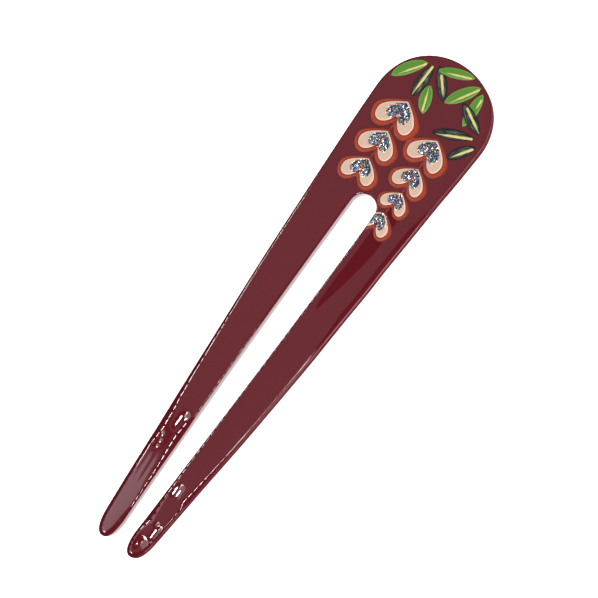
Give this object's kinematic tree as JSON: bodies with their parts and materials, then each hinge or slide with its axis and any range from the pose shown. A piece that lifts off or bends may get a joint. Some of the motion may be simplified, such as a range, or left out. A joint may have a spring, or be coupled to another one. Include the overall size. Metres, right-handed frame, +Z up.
{
  "type": "decorative hair pin",
  "caption": "Flat two-prong hair fork in glossy burgundy sheet, its round head decorated with raised lacquered hearts and leaves.",
  "frame": {"origin": "under the middle of the pin's outline, on the plane that its flat back rests on", "axes": "+Y from the prong tips to the round head, +X across the pin, +Z up out of the decorated face"},
  "size_m": [0.0286, 0.135, 0.0041],
  "materials": {
    "burgundy_acetate": "tumbled and polished cellulose acetate sheet",
    "rust_lacquer": "satin brushed lacquer, soft at its outer edge",
    "peach_lacquer": "satin lacquer with a fine speckle",
    "glitter_lacquer": "indigo lacquer full of coloured glitter flakes",
    "green_lacquer": "satin bright green lacquer",
    "dark_green_lacquer": "streaky dark blue-green lacquer",
    "straw_lacquer": "fine straw-coloured brush strokes"
  },
  "bodies": {
    "root": {"fork_body": "burgundy_acetate", "heart_1_border": "rust_lacquer", "heart_1_glitter": "glitter_lacquer", "heart_1_petal": "peach_lacquer", "heart_2_border": "rust_lacquer", "heart_2_glitter": "glitter_lacquer", "heart_2_petal": "peach_lacquer", "heart_3_border": "rust_lacquer", "heart_3_glitter": "glitter_lacquer", "heart_3_petal": "peach_lacquer", "heart_4_border": "rust_lacquer", "heart_4_glitter": "glitter_lacquer", "heart_4_petal": "peach_lacquer", "heart_5_border": "rust_lacquer", "heart_5_glitter": "glitter_lacquer", "heart_5_petal": "peach_lacquer", "heart_6_border": "rust_lacquer", "heart_6_glitter": "glitter_lacquer", "heart_6_petal": "peach_lacquer", "heart_7_border": "rust_lacquer", "heart_7_glitter": "glitter_lacquer", "heart_7_petal": "peach_lacquer", "leaf_dark_1": "dark_green_lacquer", "leaf_dark_2": "dark_green_lacquer", "leaf_dark_3": "dark_green_lacquer", "leaf_dark_4": "dark_green_lacquer", "leaf_dark_5": "dark_green_lacquer", "leaf_light_1": "green_lacquer", "leaf_light_2": "green_lacquer", "leaf_light_3": "green_lacquer", "leaf_light_4": "green_lacquer", "leaf_light_5": "green_lacquer", "vein_dark_1": "straw_lacquer", "vein_dark_2": "straw_lacquer", "vein_dark_3": "straw_lacquer", "vein_dark_4": "straw_lacquer", "vein_dark_5": "straw_lacquer", "vein_light_1": "straw_lacquer", "vein_light_2": "straw_lacquer", "vein_light_3": "straw_lacquer", "vein_light_4": "straw_lacquer", "vein_light_5": "straw_lacquer"}
  },
  "joints": []
}
